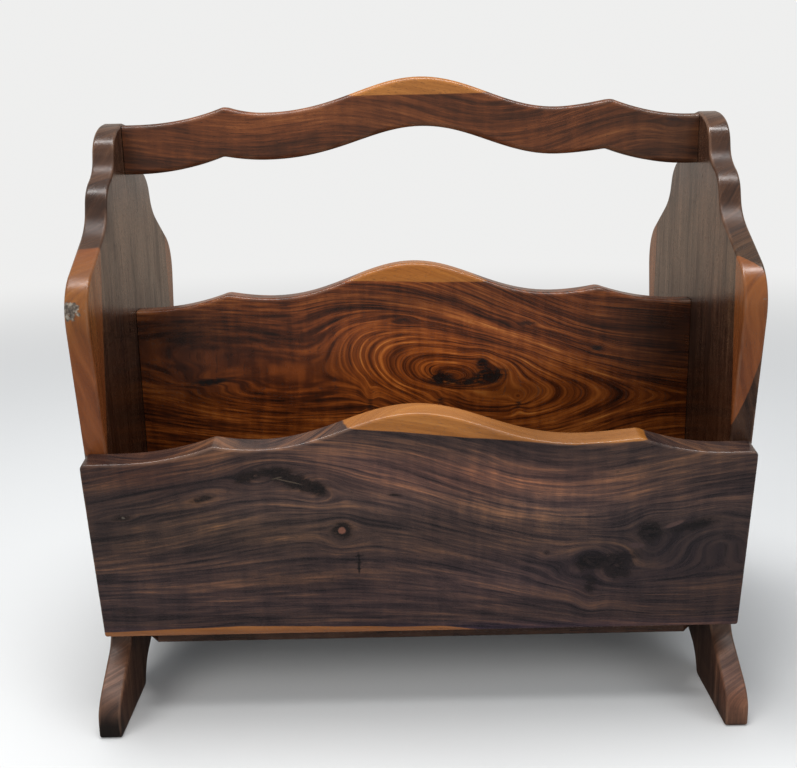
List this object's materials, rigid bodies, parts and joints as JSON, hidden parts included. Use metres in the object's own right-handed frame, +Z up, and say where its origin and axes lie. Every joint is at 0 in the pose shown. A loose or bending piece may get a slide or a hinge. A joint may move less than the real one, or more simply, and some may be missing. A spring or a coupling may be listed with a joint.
{
  "type": "magazine basket",
  "caption": "Free-standing wooden magazine basket: leaning side panels, a waved centre divider and a waved carrying handle between shaped end panels on splayed feet.",
  "frame": {"origin": "on the floor in the middle of the footprint", "axes": "+Z up, X along the handle and divider, -Y towards the front of the basket"},
  "size_m": [0.46, 0.294, 0.4531],
  "materials": {
    "heartwood": "satin lacquer over dark red-brown straight-grained hardwood with paler sapwood edges",
    "figured_heartwood": "satin lacquer over brown hardwood with oval and streaked figure",
    "end_panel_wood": "satin lacquer over brown hardwood with orange-tan sapwood edges, grain upright",
    "dowel": "bare pale hardwood"
  },
  "bodies": {
    "root": {"left_end_panel": "end_panel_wood", "right_end_panel": "end_panel_wood", "front_panel": "heartwood", "back_panel": "heartwood", "bottom_board": "heartwood", "divider": "figured_heartwood", "handle": "figured_heartwood", "bottom_dowel_left_1": "dowel", "bottom_dowel_left_2": "dowel", "bottom_dowel_left_3": "dowel", "bottom_dowel_right_1": "dowel", "bottom_dowel_right_2": "dowel", "bottom_dowel_right_3": "dowel", "front_panel_dowel_left_1": "dowel", "front_panel_dowel_left_2": "dowel", "front_panel_dowel_left_3": "dowel", "front_panel_dowel_right_1": "dowel", "front_panel_dowel_right_2": "dowel", "front_panel_dowel_right_3": "dowel", "back_panel_dowel_left_1": "dowel", "back_panel_dowel_left_2": "dowel", "back_panel_dowel_left_3": "dowel", "back_panel_dowel_right_1": "dowel", "back_panel_dowel_right_2": "dowel", "back_panel_dowel_right_3": "dowel", "divider_dowel_left_1": "dowel", "divider_dowel_left_2": "dowel", "divider_dowel_left_3": "dowel", "divider_dowel_right_1": "dowel", "divider_dowel_right_2": "dowel", "divider_dowel_right_3": "dowel", "handle_dowel_left_1": "dowel", "handle_dowel_left_2": "dowel", "handle_dowel_right_1": "dowel", "handle_dowel_right_2": "dowel", "divider_foot_dowel_1": "dowel", "divider_foot_dowel_2": "dowel", "divider_foot_dowel_3": "dowel"}
  },
  "joints": []
}
